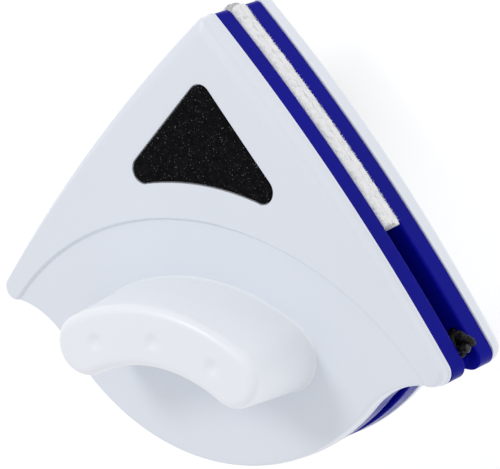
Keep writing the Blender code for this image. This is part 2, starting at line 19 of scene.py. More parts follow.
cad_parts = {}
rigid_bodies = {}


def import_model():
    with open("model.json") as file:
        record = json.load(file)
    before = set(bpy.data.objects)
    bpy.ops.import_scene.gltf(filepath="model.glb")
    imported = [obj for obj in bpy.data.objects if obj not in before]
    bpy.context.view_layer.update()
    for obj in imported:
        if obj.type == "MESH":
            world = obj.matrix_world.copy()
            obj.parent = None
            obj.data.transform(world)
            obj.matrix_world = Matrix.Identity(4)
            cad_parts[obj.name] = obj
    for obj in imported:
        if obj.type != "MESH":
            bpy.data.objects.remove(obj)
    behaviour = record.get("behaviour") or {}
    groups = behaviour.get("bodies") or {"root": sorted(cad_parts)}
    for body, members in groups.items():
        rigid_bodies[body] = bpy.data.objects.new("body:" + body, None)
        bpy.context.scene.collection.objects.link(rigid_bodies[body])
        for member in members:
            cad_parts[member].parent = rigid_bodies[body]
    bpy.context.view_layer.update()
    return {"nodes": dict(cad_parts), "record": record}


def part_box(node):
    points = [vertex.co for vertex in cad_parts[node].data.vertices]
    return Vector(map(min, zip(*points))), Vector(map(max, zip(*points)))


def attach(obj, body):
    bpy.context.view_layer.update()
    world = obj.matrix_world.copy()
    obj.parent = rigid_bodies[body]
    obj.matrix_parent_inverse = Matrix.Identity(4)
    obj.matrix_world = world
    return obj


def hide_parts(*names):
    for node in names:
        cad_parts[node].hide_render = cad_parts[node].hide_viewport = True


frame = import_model()

MM = 0.001
GAP = 0.3
WELD_DISTANCE = 0.0005
SHARP_ANGLE = 40

# Plan of a half
HALF_WIDTH = 84.6
HEIGHT = 98.7
SIDE_BULGE = 3.4
APEX_RADIUS = 1.8
CORNER_RADIUS = 4.2
CORNER_Y = 2.2
NOTCH_RADIUS = 27.5
BULGE_RADIUS = 72.0
BULGE_Y = 31.9
OUTLINE_STEPS = {"apex": 8, "side": 190, "corner": 26, "notch": 40, "bulge": 90}

# Heights from the middle of the pane gap
PAD_BACK = 3.65
RIM = 11.15
FACE = 19.25
GRIP_FACE = 44.45
CAMBER_X = 2.4
CAMBER_X_REACH = 75.0
CAMBER_Y = 0.7
CAMBER_Y_REACH = 50.0
CAMBER_TOP_Y = 35.0

# Shell
WALL = 2.1
ROOF_DROP = 3.0
LOWER_STEP = 1.0
STEP_RADIUS = 96.5
STEP_CENTRE_Y = -60.2
STEP_WIDTH = 0.75
STEP_CREASE = 0.06
RECESS_DEPTH = 1.6
RECESS_RADIUS = 4.0
RECESS_TOP = (0.0, 73.8)
RECESS_CORNER = (21.7, 49.2)
RECESS_SAG = 2.7
RECESS_MIDDLE = (0.0, 58.0)
PAD_DROP = 0.15

# Base plate
PLATE_INSET = 0.3
PLATE_WALL = 2.0
PLATE_FLOOR = 2.5
PLATE_CHAMFER = 0.7
PLATE_RADII = (2.0, 3.6)
LUG = (76.5, 1.4)
LUG_RADIUS = 1.5
LUG_FLARE = (0.12, 0.5)
PLATE_SCREWS = ((0.0, 60.0), (42.0, 0.0), (-42.0, 0.0), (0.0, -31.5))
SCREW_POCKET_RADIUS = 3.3
SCREW_POCKET_DEPTH = 1.9

# Grip
GRIP_CENTRE_Y = -48.7
GRIP_MID_RADIUS = 55.9
GRIP_END_ANGLE = math.radians(29.6)
GRIP_HALF_DEPTH = 9.2
GRIP_DRAFT = 2.0
GRIP_FILLET = 3.0
GRIP_STEPS = (90, 40)
DIMPLE_RADIUS = 3.3
DIMPLE_DEPTH = 0.95
DIMPLES = ((-21.8, 2.4), (0.0, 6.2), (21.8, 2.4))

# Fleece
FLEECE_INSET = PLATE_INSET + 0.2
FLEECE_WIDTH = 13.0
FLEECE_START_X = 1.2
FLEECE_LENGTH = 78.2
FLEECE_TOUCH = 0.03
FLEECE_BULGE = 0.8
FLEECE_FRAY = 2.2
FLEECE_CREST = 0.7
FLEECE_CREST_REACH = 4.0
FLEECE_STEPS = 240
WAVE_SCALE = 0.5
WAVE_DEPTH = (0.22, 0.22, 0.1)
FUZZ_SCALE = 1.9
FUZZ_DEPTH = (0.12, 0.12, 0.06)
FLEECE_SEEDS = {"inner": 5, "outer": 11}
FIBRES = 4500
FIBRES_INNER = 0.15
FIBRES_END = 0.07
FIBRE_LENGTH = (0.25, 0.6)
FIBRE_RADIUS = 0.045

# Safety cord: plan places, with heights above the floor
CORD_RADIUS = 1.5
CORD_HOLE = (73.2, 8.6)
CORD_DROP = (
    (73.1, 7.6, 25.9),
    (72.2, 5.2, 23.0),
    (70.6, 2.5, 19.9),
    (68.4, -0.2, 16.3),
    (65.6, -2.8, 12.1),
    (62.6, -4.8, 7.8),
    (59.2, -5.8, 3.9),
)
CORD_ROUTE = ((54.8, -4.6), (50.2, -1.2), (45.2, 4.4), (39.0, 14.0), (31.0, 27.0), (22.0, 38.5))
CORD_FLOOR_GAP = 0.1
COIL_CENTRE = (-11.5, 47.0)
COIL_MID_RADIUS = 16.5
COIL_WIDTH = 15.0
COIL_HEIGHT = 9.0
COIL_LIFT = 1.3
COIL_LAYERS = 3
COIL_STEPS = 40
COIL_RAMP = 0.2
TURN_PITCH = 3.02
KNOT_CENTRE = (77.7, 7.1)
KNOT_REACH = 3.1
KNOT_RISE = 1.15
KNOT_DROP = 1.1
KNOT_STRAND = 1.15
KNOT_SIDES = 16
KNOT_SPACING = 0.4
TIP_SWELL = (0.9, 1.06, 1.14, 1.18, 1.18, 1.12, 0.95, 0.6)
KNOT_LEAD_IN = (-2.6, -0.6, -1.3)
KNOT_LEAD_OUT = ((-0.5, -1.2, 1.9), (1.4, -0.9, 2.1), (3.3, -0.4, 1.7))

# Tie round the coil: (place across the strap, height over its base)
TIE_SECTION = ((-2.0, 0.0), (-1.9, 0.55), (-1.2, 0.75), (1.2, 0.75), (1.9, 0.55), (2.0, 0.0))
TIE_STEPS = 72
TIE_LOW = 0.15

# Camera
CAMERA_TARGET = (2.45, 28.08, -1.06)
CAMERA_DISTANCE = 924.9
CAMERA_AZIMUTH = math.radians(115.887)
CAMERA_ELEVATION = math.radians(50.103)
CAMERA_ROLL = math.radians(-111.793)
CAMERA_LENS = 221.9

# Light and floor: lengths here are in metres
VIEW_TRANSFORM = "Standard"
SKY_COLOUR = (0.97, 0.98, 1.0, 1.0)
SKY_STRENGTH = 0.71
LIGHTS = (
    # name, direction toward it, distance, size, watts, colour
    ("key", (-0.42, 0.58, 0.9), 1.3, 0.4, 3.6, (1.0, 0.995, 0.99)),
    ("fill", (0.5, -0.2, 1.0), 1.5, 1.2, 1.0, (0.96, 0.98, 1.0)),
)
LIGHT_AIM_HEIGHT = 0.05
FLOOR_REACH = 6.0
FLOOR_HEIGHT = -0.0002
FLOOR_GLOW = 0.76


# Outlines in the plan: arrays of (x, y) points, clockwise seen from above

def angle_of(vector):
    return math.atan2(vector[1], vector[0])


def arc(centre, radius, start, end, steps):
    """Points on an arc, without its last one."""
    turns = np.linspace(start, end, steps, endpoint=False)
    return np.asarray(centre, float) + radius * np.column_stack([np.cos(turns), np.sin(turns)])


def crossing(first, first_radius, second, second_radius, side):
    """A point where two circles cross: the one to the left (side 1) or right (-1) of first to second."""
    across = second - first
    distance = np.linalg.norm(across)
    along = (first_radius ** 2 - second_radius ** 2 + distance ** 2) / (2 * distance)
    off = math.sqrt(first_radius ** 2 - along ** 2)
    across = across / distance
    return first + across * along + np.array([-across[1], across[0]]) * off * side


def side_arc(apex_inset=0.0, corner_inset=0.0):
    """Centre and radius of the long right side, moved inward by its own amount at each end."""
    outward = np.array([HEIGHT, HALF_WIDTH]) / math.hypot(HEIGHT, HALF_WIDTH)
    apex = np.array([0.0, HEIGHT]) - outward * apex_inset
    corner = np.array([HALF_WIDTH, 0.0]) - outward * corner_inset
    chord = corner - apex
    length = np.linalg.norm(chord)
    radius = (length ** 2 / 4 + SIDE_BULGE ** 2) / (2 * SIDE_BULGE)
    normal = np.array([-chord[1], chord[0]]) / length
    return (apex + corner) / 2 - normal * (radius - SIDE_BULGE), radius


def notch_centre():
    """Centre of the hollow between a lower corner and the bulge."""
    side, side_radius = side_arc()
    reach = side_radius - CORNER_RADIUS
    corner = np.array([side[0] + math.sqrt(reach ** 2 - (CORNER_Y - side[1]) ** 2), CORNER_Y])
    bulge = np.array([0.0, BULGE_Y])
    return crossing(corner, CORNER_RADIUS + NOTCH_RADIUS, bulge, BULGE_RADIUS + NOTCH_RADIUS, 1)


def mirrored(right):
    """A whole outline from its right half, which starts and ends on the middle line."""
    return np.concatenate([right, (right[1:-1] * [-1, 1])[::-1]])


def plan_outline(apex_inset=0.0, corner_inset=0.0, apex_radius=APEX_RADIUS, corner_radius=CORNER_RADIUS):
    """The outline of a half, always with the same number of points."""
    steps = OUTLINE_STEPS
    side, side_radius = side_arc(apex_inset, corner_inset)
    notch = notch_centre()
    notch_radius = NOTCH_RADIUS + corner_inset
    bulge = np.array([0.0, BULGE_Y])
    reach = side_radius - apex_radius
    apex = np.array([0.0, side[1] + math.sqrt(reach ** 2 - side[0] ** 2)])
    corner = crossing(side, side_radius - corner_radius, notch, notch_radius + corner_radius, 1)
    bulge_radius = BULGE_RADIUS - corner_inset
    right = np.concatenate([
        arc(apex, apex_radius, math.pi / 2, angle_of(apex - side), steps["apex"]),
        arc(side, side_radius, angle_of(apex - side), angle_of(corner - side), steps["side"]),
        arc(corner, corner_radius, angle_of(corner - side), angle_of(notch - corner), steps["corner"]),
        arc(notch, notch_radius, angle_of(corner - notch), angle_of(bulge - notch), steps["notch"]),
        arc(bulge, bulge_radius, angle_of(notch - bulge), -math.pi / 2, steps["bulge"]),
        [[0.0, BULGE_Y - bulge_radius]],
    ])
    return mirrored(right)


def recess_outline(grow=0.0):
    """The rounded triangle of the foam pad, whose lower edge is hollow."""
    top, corner = np.array(RECESS_TOP), np.array(RECESS_CORNER)
    side = corner - top
    facing = angle_of((-side[1], side[0]))
    radius = RECESS_RADIUS + grow
    tuck = 2 * RECESS_SAG / corner[0]
    outward_of_side = radius * np.array([math.cos(facing), math.sin(facing)])
    down = np.linspace(0, 1, 30, endpoint=False)[1:, None]
    across = np.linspace(corner[0] - radius * math.sin(tuck), 0.0, 41)
    rise = RECESS_SAG * (1 - (across / corner[0]) ** 2)
    right = np.concatenate([
        arc(top, radius, math.pi / 2, facing, 16),
        [top + outward_of_side],
        top + outward_of_side + side * down,
        arc(corner, radius, facing, -math.pi / 2 - tuck, 28),
        np.column_stack([across, corner[1] - radius + rise]),
    ])
    return mirrored(right)


def grip_outline(grow):
    """The crescent of the grip, grown outward all round, from the left end over its outer side."""
    along, around = GRIP_STEPS
    centre = np.array([0.0, GRIP_CENTRE_Y])
    half = GRIP_END_ANGLE
    up = math.pi / 2
    end_radius = GRIP_HALF_DEPTH + grow
    right_end = centre + np.array([math.sin(half), math.cos(half)]) * GRIP_MID_RADIUS
    left_end = right_end * [-1, 1]
    return np.concatenate([
        arc(centre, GRIP_MID_RADIUS + end_radius, up + half, up - half, along),
        arc(right_end, end_radius, up - half, up - half - math.pi, around),
        arc(centre, GRIP_MID_RADIUS - end_radius, up - half, up + half, along),
        arc(left_end, end_radius, up + half + math.pi, up + half, around),
    ])


PLAN_MIDDLE_Y = (plan_outline()[:, 1].max() + plan_outline()[:, 1].min()) / 2


# Heights

def smooth(t):
    t = np.clip(t, 0.0, 1.0)
    return t * t * (3 - 2 * t)


def dome(points):
    """Height of the upper face, without its step."""
    across = (points[:, 0] / CAMBER_X_REACH) ** 2
    along = ((points[:, 1] - CAMBER_TOP_Y) / CAMBER_Y_REACH) ** 2
    return FACE - CAMBER_X * across - CAMBER_Y * along


def from_step(points):
    """Distance outward from the step's arc."""
    return np.hypot(points[:, 0], points[:, 1] - STEP_CENTRE_Y) - STEP_RADIUS


def under_face(points, drop=0.0):
    """Height at some distance under the stepped face. The drop shrinks a little under the lower level."""
    beyond = from_step(points)
    lower = smooth(0.5 - beyond / STEP_WIDTH)
    crease = STEP_CREASE * np.exp(-((beyond + STEP_WIDTH * 0.6) / (STEP_WIDTH * 0.35)) ** 2)
    level = drop * (1 - lower) + (LOWER_STEP + 0.75 * drop) * lower
    fading = math.exp(-drop / 0.3)
    return dome(points) - level - crease * fading


# Mesh building

class Half:
    """One half of the cleaner: its body, and how its plan is placed in the frame."""

    def __init__(self, name, middle, turned):
        self.name = name
        self.body = f"{name}_half"
        self.middle = middle
        self.sign = -1 if turned else 1

    def place(self, points):
        """Points (x, y, height) in the frame's metres. The outer half is the inner one turned over."""
        x, y, height = points.T
        return np.column_stack([self.sign * x, y - PLAN_MIDDLE_Y, self.sign * height + self.middle]) * MM


def ring(outline, height):
    """An outline at a height, which is one number or one for each point."""
    return np.column_stack([outline, np.broadcast_to(height, len(outline))])


def loft(rings, cap_start=True, cap_end=True):
    """Points and faces of a surface through equal rings, with a fan over each closed end."""
    count = len(rings[0])
    points = np.concatenate(rings)
    faces = []
    for i in range(len(rings) - 1):
        low, high = i * count, (i + 1) * count
        for j in range(count):
            k = (j + 1) % count
            faces.append((low + j, low + k, high + k, high + j))
    for cap, base, last in ((cap_start, 0, False), (cap_end, (len(rings) - 1) * count, True)):
        if not cap:
            continue
        centre = len(points)
        points = np.concatenate([points, points[base:base + count].mean(axis=0, keepdims=True)])
        for j in range(count):
            k = (j + 1) % count
            pair = (base + j, base + k) if last else (base + k, base + j)
            faces.append((*pair, centre))
    return points, faces


def joined(*shapes):
    """Several (points, faces) as one."""
    points, faces, start = [], [], 0
    for some_points, some_faces in shapes:
        points.append(some_points)
        faces += [tuple(start + i for i in face) for face in some_faces]
        start += len(some_points)
    return np.concatenate(points), faces


def piece(name, shape, material, body, slot, stands_for=(), smooth_angle=SHARP_ANGLE):
    """A shown mesh from (points in metres, faces), riding on a body."""
    points, faces = shape
    mesh = bpy.data.meshes.new(name)
    mesh.from_pydata(points.tolist(), [], faces)
    weld(mesh)
    obj = bpy.data.objects.new(name, mesh)
    bpy.context.scene.collection.objects.link(obj)
    mesh.materials.append(material)
    outward(mesh)
    mesh.shade_smooth()
    mesh.set_sharp_from_angle(angle=math.radians(smooth_angle))
    if stands_for:
        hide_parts(*stands_for)
    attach(obj, body)
    return obj


def weld(mesh):
    """Joins the seams between shapes that meet."""
    built = bmesh.new()
    built.from_mesh(mesh)
    bmesh.ops.remove_doubles(built, verts=built.verts, dist=WELD_DISTANCE * MM)
    bmesh.ops.recalc_face_normals(built, faces=built.faces)
    built.to_mesh(mesh)
    built.free()


def outward(mesh):
    """Turns the faces of a closed mesh round if they point inward."""
    mesh.calc_loop_triangles()
    points = np.empty(len(mesh.vertices) * 3)
    mesh.vertices.foreach_get("co", points)
    corners = np.empty(len(mesh.loop_triangles) * 3, int)
    mesh.loop_triangles.foreach_get("vertices", corners)
    a, b, c = points.reshape(-1, 3)[corners.reshape(-1, 3)].transpose(1, 0, 2)
    if np.einsum("ij,ij->i", a, np.cross(b, c)).sum() < 0:
        mesh.flip_normals()


def swept(path, radius, sides=14):
    """A tube along a path, with rounded ends. The radius is one number, or one for each point."""
    radius = np.broadcast_to(radius, len(path)).astype(float)
    ahead = np.gradient(path, axis=0)
    ahead /= np.linalg.norm(ahead, axis=1, keepdims=True)
    side = np.cross(ahead[0], [0.3, 0.5, 0.81])
    rings = []
    for place, way, size in zip(path, ahead, radius):
        side = side - way * (side @ way)
        side /= np.linalg.norm(side)
        turns = np.linspace(0, 2 * math.pi, sides, endpoint=False)
        around = np.outer(np.cos(turns), side) + np.outer(np.sin(turns), np.cross(way, side))
        rings.append(place + size * around)
    for end, way in ((0, -1), (-1, 1)):
        centre = path[end]
        tip = [centre + (rings[end] - centre) * share + way * ahead[end] * radius[end] * lift
               for share, lift in ((0.8, 0.3), (0.45, 0.45))]
        rings = tip[::-1] + rings if way < 0 else rings + tip
    return loft(rings)


def smooth_route(points, spacing):
    """Points about spacing apart on a Catmull-Rom curve through the route."""
    points = [np.asarray(p, float) for p in points]
    ends = [points[0] * 2 - points[1]] + points + [points[-1] * 2 - points[-2]]
    route = []
    for before, start, end, after in zip(ends, ends[1:], ends[2:], ends[3:]):
        steps = max(1, round(np.linalg.norm(end - start) / spacing))
        for i in range(steps):
            t = i / steps
            bend = 2 * before - 5 * start + 4 * end - after
            twist = 3 * (start - end) + after - before
            route.append(start + (t * (end - before) + t * t * bend + t ** 3 * twist) / 2)
    return np.array(route + [points[-1]])


# Materials

class Look:
    """A procedural material. Its textures use object coordinates, which are metres in the frame."""

    def __init__(self, name, **settings):
        self.material = bpy.data.materials.new(name)
        self.material.use_nodes = True
        self.nodes = self.material.node_tree.nodes
        self.links = self.material.node_tree.links
        self.shader = self.nodes["Principled BSDF"]
        for key, value in settings.items():
            self.shader.inputs[key.replace("_", " ")].default_value = value
        self.place = self.nodes.new("ShaderNodeTexCoord").outputs["Object"]

    def noise(self, size, detail=3.0, roughness=0.55):
        """Noise whose grains are about this many millimetres across."""
        node = self.nodes.new("ShaderNodeTexNoise")
        node.inputs["Scale"].default_value = 1 / (size * MM)
        node.inputs["Detail"].default_value = detail
        node.inputs["Roughness"].default_value = roughness
        self.links.new(self.place, node.inputs["Vector"])
        return node.outputs["Fac"]

    def cells(self, size):
        """Distance from the middles of cells that are about this many millimetres across."""
        node = self.nodes.new("ShaderNodeTexVoronoi")
        node.inputs["Scale"].default_value = 1 / (size * MM)
        self.links.new(self.place, node.inputs["Vector"])
        return node.outputs["Distance"]

    def spread(self, value, low, high, to_low=0.0, to_high=1.0):
        """Maps low..high of a value onto another range, clamped."""
        node = self.nodes.new("ShaderNodeMapRange")
        settings = {"From Min": low, "From Max": high, "To Min": to_low, "To Max": to_high}
        for key, number in settings.items():
            node.inputs[key].default_value = number
        self.links.new(value, node.inputs["Value"])
        return node.outputs["Result"]

    def colours(self, value, *stops):
        """A colour ramp: stops are (place, (r, g, b))."""
        node = self.nodes.new("ShaderNodeValToRGB")
        ramp = node.color_ramp
        for element, (at, colour) in zip(ramp.elements, (stops[0], stops[-1])):
            element.position = at
            element.color = (*colour, 1.0)
        for at, colour in stops[1:-1]:
            ramp.elements.new(at).color = (*colour, 1.0)
        self.links.new(value, node.inputs["Fac"])
        return node.outputs["Color"]

    def mixed(self, share, first, second):
        """first and second colours, mixed by the share of the second."""
        node = self.nodes.new("ShaderNodeMix")
        node.data_type = "RGBA"
        self.links.new(share, node.inputs["Factor"])
        self.links.new(first, node.inputs[6])
        self.links.new(second, node.inputs[7])
        return node.outputs[2]

    def added(self, first, second, share=1.0):
        """first + share * second"""
        node = self.nodes.new("ShaderNodeMath")
        node.operation = "MULTIPLY_ADD"
        self.links.new(second, node.inputs[0])
        node.inputs[1].default_value = share
        self.links.new(first, node.inputs[2])
        return node.outputs["Value"]

    def paint(self, colour):
        self.links.new(colour, self.shader.inputs["Base Color"])

    def roughen(self, value):
        self.links.new(value, self.shader.inputs["Roughness"])

    def product(self, first, second):
        node = self.nodes.new("ShaderNodeMath")
        node.operation = "MULTIPLY"
        self.links.new(first, node.inputs[0])
        self.links.new(second, node.inputs[1])
        return node.outputs["Value"]

    def relief(self, value, depth):
        """Bump of this many millimetres."""
        node = self.nodes.new("ShaderNodeBump")
        node.inputs["Distance"].default_value = depth * MM
        self.links.new(value, node.inputs["Height"])
        self.links.new(node.outputs["Normal"], self.shader.inputs["Normal"])


def moulded_plastic(name, light, dark, roughness, grain=0.004, gloss=0.5):
    """Injection-moulded plastic: faint colour drift, fine surface grain and patchy polish."""
    look = Look(name, IOR=1.5, Specular_IOR_Level=gloss)
    drift = look.noise(38.0, 2.0)
    look.paint(look.colours(drift, (0.3, dark), (0.7, light)))
    polish = look.noise(6.0, 4.0)
    look.roughen(look.spread(polish, 0.3, 0.7, roughness - 0.04, roughness + 0.05))
    fine = look.noise(0.35, 2.0)
    waves = look.noise(9.0, 1.0)
    look.relief(look.added(fine, waves, 3.0), grain)
    return look.material


def foam(name):
    """Black closed-cell foam: a matt ground with painted glints, small bright specks that stand for light
    caught by its cells.
    """
    look = Look(name, Specular_IOR_Level=0.07)
    grains = look.cells(0.62)
    # painted glints: bright specks in the foam's cells are mixed into the base colour as painted highlights
    painted_glint = look.spread(grains, 0.28, 0.10)
    pick = look.spread(look.noise(0.55, 1.0), 0.47, 0.62)
    shown = look.product(painted_glint, pick)
    darks = (0.35, (0.0014, 0.0012, 0.0016)), (0.7, (0.006, 0.0055, 0.0068))
    lights = (0.35, (0.07, 0.065, 0.062)), (0.7, (0.36, 0.34, 0.33))
    ground = look.colours(look.noise(1.6, 5.0), *darks)
    bright = look.colours(look.noise(0.8, 2.0), *lights)
    look.paint(look.mixed(shown, ground, bright))
    look.roughen(look.spread(look.noise(0.5, 2.0), 0.3, 0.7, 0.72, 0.95))
    look.relief(look.added(grains, look.noise(0.25, 3.0), 0.6), 0.16)
    return look.material


def pile(name):
    """White fleece: soft clumps of fibre, with painted shade that greys the hollows between them."""
    look = Look(name, Roughness=0.95, Sheen_Weight=0.35, Sheen_Roughness=0.5, Specular_IOR_Level=0.2)
    clumps = look.noise(1.5, 6.0, 0.7)
    # painted shade: where the clump noise is low, which the bump makes hollows, the white is painted greyer
    whites_with_painted_shade = (0.3, (0.80, 0.80, 0.81)), (0.5, (0.91, 0.91, 0.92)), (0.7, (0.96, 0.96, 0.96))
    look.paint(look.colours(clumps, *whites_with_painted_shade))
    look.relief(look.added(clumps, look.noise(0.3, 4.0), 0.7), 0.15)
    return look.material


def rubber(name, light=(0.028, 0.028, 0.029), dark=(0.010, 0.010, 0.011), roughness=0.6):
    """Black rubber or soft plastic: cloudy, with a patchy sheen."""
    look = Look(name, Specular_IOR_Level=0.4)
    look.paint(look.colours(look.noise(3.0, 4.0), (0.3, dark), (0.7, light)))
    look.roughen(look.spread(look.noise(1.2, 3.0), 0.3, 0.7, roughness - 0.1, roughness + 0.1))
    look.relief(look.noise(0.25, 3.0), 0.02)
    return look.material


def braid(name):
    """Black braided nylon: a fine weave of shiny strands, with painted highlights on the strand crowns and
    painted shade in the gaps between them.
    """
    look = Look(name, Specular_IOR_Level=0.22)
    strands = look.cells(0.75)
    # painted highlights: lighter near each cell's middle, the raised crown of a strand, and fading to near
    # black in the gaps as painted shade
    blacks_with_painted_highlights = (0.08, (0.06, 0.056, 0.045)), (0.26, (0.003, 0.003, 0.003)), (0.6, (0.0012, 0.0012, 0.0012))
    look.paint(look.colours(strands, *blacks_with_painted_highlights))
    look.roughen(look.spread(look.noise(0.5, 2.0), 0.3, 0.7, 0.35, 0.6))
    look.relief(strands, -0.3)
    return look.material


def metal(name, colour, roughness):
    """Plated steel with faint brushing and stains."""
    dull = tuple(0.7 * c for c in colour)
    look = Look(name, Metallic=1.0)
    look.paint(look.colours(look.noise(4.0, 5.0), (0.3, dull), (0.7, colour)))
    look.roughen(look.spread(look.noise(1.0, 4.0), 0.3, 0.7, roughness - 0.08, roughness + 0.1))
    look.relief(look.noise(0.2, 2.0), 0.01)
    return look.material


def make_materials():
    """A material for each slot of the record."""
    return {
        "shell": moulded_plastic("white_plastic", (0.80, 0.835, 0.90), (0.785, 0.82, 0.885), 0.34),
        "grip": moulded_plastic("grip_plastic", (0.9, 0.925, 0.965), (0.885, 0.91, 0.95), 0.34),
        "base_plate": moulded_plastic(
            "blue_plastic", (0.002, 0.003, 0.285), (0.0025, 0.0035, 0.245), 0.22, grain=0.003, gloss=0.04
        ),
        "pad": foam("black_foam"),
        "fleece": pile("white_fleece"),
        "wiper": rubber("black_rubber"),
        "magnet": metal("nickel", (0.66, 0.64, 0.60), 0.22),
        "yoke": metal("zinc_steel", (0.52, 0.52, 0.50), 0.4),
        "screw": metal("screw_steel", (0.60, 0.60, 0.58), 0.3),
        "cord": braid("black_braid"),
        "cord_tip": rubber("melted_nylon", (0.03, 0.03, 0.031), (0.012, 0.012, 0.012), roughness=0.22),
        "cord_tie": rubber("strap_plastic", (0.03, 0.03, 0.031), (0.015, 0.015, 0.016)),
        "cord_toggle": rubber("toggle_plastic", (0.045, 0.045, 0.046), (0.025, 0.025, 0.026)),
    }


# Pieces of a half

OUTER_PROFILE = (
    # apex inset, corner inset, drop under the face
    (0.36, 0.26, 3.1),
    (0.40, 0.30, 2.4),
    (0.48, 0.33, 1.95),
    (0.62, 0.37, 1.65),
    (0.85, 0.43, 1.35),
    (1.15, 0.50, 1.12),
    (1.50, 0.58, 0.95),
    (2.20, 0.66, 0.66),
    (2.90, 0.74, 0.42),
    (3.35, 0.80, 0.25),
    (3.75, 0.95, 0.12),
    (4.25, 1.20, 0.03),
    (4.90, 1.60, 0.00),
)
# inset, lift over the rim
LIP_PROFILE = ((0.15, 0.0), (0.03, 0.06), (0.0, 0.2), (0.0, 0.8), (0.06, 1.02), (0.2, 1.18), (0.3, 1.45))
# growth of the recess, drop under the face
RECESS_PROFILE = ((0.55, 0.0), (0.43, 0.03), (0.34, 0.1), (0.31, 0.25), (GAP, 0.7))
FACE_GRID = 2.4
STEP_ROWS = (
    -2.2, -1.7, -1.3, -1.05, -0.85, -0.7, -0.55, -0.4, -0.28, -0.15, 0.0, 0.15, 0.3, 0.45, 0.7, 1.1, 1.7
)
STEP_ROW_SPACING = 0.7
FACE_MARGIN = 0.45


def inset_outline(apex_inset, corner_inset):
    """The outline moved inward, with the corners drawn tighter as they go."""
    apex_radius = max(1.0, APEX_RADIUS - 0.1 * apex_inset)
    return plan_outline(apex_inset, corner_inset, apex_radius, max(2.2, CORNER_RADIUS - 0.7 * corner_inset))


def inside(points, outline):
    """Whether each point lies inside a closed outline."""
    x, y = points.T[:, :, None]
    x0, y0 = outline.T[:, None, :]
    x1, y1 = np.roll(outline, -1, axis=0).T[:, None, :]
    rising = (y0 > y) != (y1 > y)
    with np.errstate(divide="ignore", invalid="ignore"):
        crossed = rising & (x < x0 + (y - y0) * (x1 - x0) / (y1 - y0))
    return crossed.sum(axis=1) % 2 == 1


def distance_to(points, outline):
    """Distance from each point to the nearest corner of an outline."""
    offsets = points[:, None, :] - outline[None, :, :]
    return np.sqrt((offsets ** 2).sum(axis=2).min(axis=1))


def face_points(outer, recess):
    """Points over the face: rows along the step, and an even grid of triangles elsewhere."""
    rows = []
    for offset in STEP_ROWS:
        radius = STEP_RADIUS + offset
        reach = math.asin(HALF_WIDTH / radius)
        steps = round(2 * reach * radius / STEP_ROW_SPACING)
        rows.append(arc((0.0, STEP_CENTRE_Y), radius, math.pi / 2 - reach, math.pi / 2 + reach, steps))
    low, high = outer.min(axis=0), outer.max(axis=0)
    grid = []
    lift = FACE_GRID * math.sqrt(3) / 2
    for i in range(int((high[1] - low[1]) / lift) + 1):
        across = np.arange(low[0] + (i % 2) * FACE_GRID / 2, high[0], FACE_GRID)
        grid.append(np.column_stack([across, np.full(len(across), low[1] + i * lift)]))
    grid = np.concatenate(grid)
    grid = grid[np.abs(from_step(grid)) > STEP_ROWS[-1] + FACE_GRID / 3]
    points = np.concatenate([*rows, grid])
    points = points[inside(points, outer) & ~inside(points, recess)]
    return points[distance_to(points, np.concatenate([outer, recess])) > FACE_MARGIN]


def face_shape(outer, recess):
    """The face between its ridge and the recess."""
    points = np.concatenate([outer, recess, face_points(outer, recess)])
    edges, start = [], 0
    for loop in (outer, recess):
        count = len(loop)
        edges += [(start + i, start + (i + 1) % count) for i in range(count)]
        start += count
    flat = [Vector(p) for p in points]
    made, _, faces, *_ = geometry.delaunay_2d_cdt(flat, edges, [], 0, 1e-6)
    made = np.array(made)
    centres = np.array([made[list(face)].mean(axis=0) for face in faces])
    kept = inside(centres, outer) & ~inside(centres, recess)
    faces = [tuple(face) for face, keep in zip(faces, kept) if keep]
    return np.column_stack([made, under_face(made)]), faces


def shell_shape():
    """The domed shell: a hollow inside, a lip, a rounded side, a stepped face and the pad's recess."""
    inner = inset_outline(WALL, WALL)
    roof_edge = inset_outline(WALL + 2.9, WALL + 1.3)
    middle = np.array(RECESS_MIDDLE)
    rings = []
    for scale in (0.1, 0.5, 1.0):
        points = middle + (roof_edge - middle) * scale
        rings.append(ring(points, dome(points) - ROOF_DROP))
    rings.append(ring(inner, np.maximum(RIM + 0.2, dome(inner) - ROOF_DROP - 2.0)))
    rings.append(ring(inner, RIM))
    rings += [ring(inset_outline(inset, inset), RIM + lift) for inset, lift in LIP_PROFILE]
    for apex_inset, corner_inset, drop in OUTER_PROFILE:
        points = inset_outline(apex_inset, corner_inset)
        rings.append(ring(points, under_face(points, drop)))
    wall = loft(rings, cap_end=False)
    face = face_shape(points, recess_outline(RECESS_PROFILE[0][0]))
    rings = []
    for grow, drop in RECESS_PROFILE:
        points = recess_outline(grow)
        rings.append(ring(points, under_face(points) - drop))
    for grow in (GAP, -2.0):
        rings.append(ring(recess_outline(grow), FACE - RECESS_DEPTH))
    return joined(wall, face, loft(rings, cap_start=False))


def pad_shape():
    """The foam: flat-topped, with soft pressed edges."""
    top = dome(np.array([RECESS_CORNER]))[0] - PAD_DROP
    levels = [(0.0, FACE - RECESS_DEPTH + 0.05)]
    levels += [(0.0, top - 0.45), (-0.08, top - 0.2), (-0.3, top - 0.04), (-0.7, top)]
    rings = [ring(recess_outline(grow), height) for grow, height in levels]
    edge, middle = recess_outline(levels[-1][0]), np.array(RECESS_MIDDLE)
    rings += [ring(edge + (middle - edge) * share, top) for share in (0.2, 0.5, 0.8)]
    return loft(rings)


def grip_top(points):
    """The thumb dimples in the grip's flat top."""
    height = np.full(len(points), GRIP_FACE)
    for centre in DIMPLES:
        near = np.hypot(*(points - centre).T) / DIMPLE_RADIUS
        height -= DIMPLE_DEPTH * np.clip(1 - near ** 2, 0, 1) ** 2
    return height


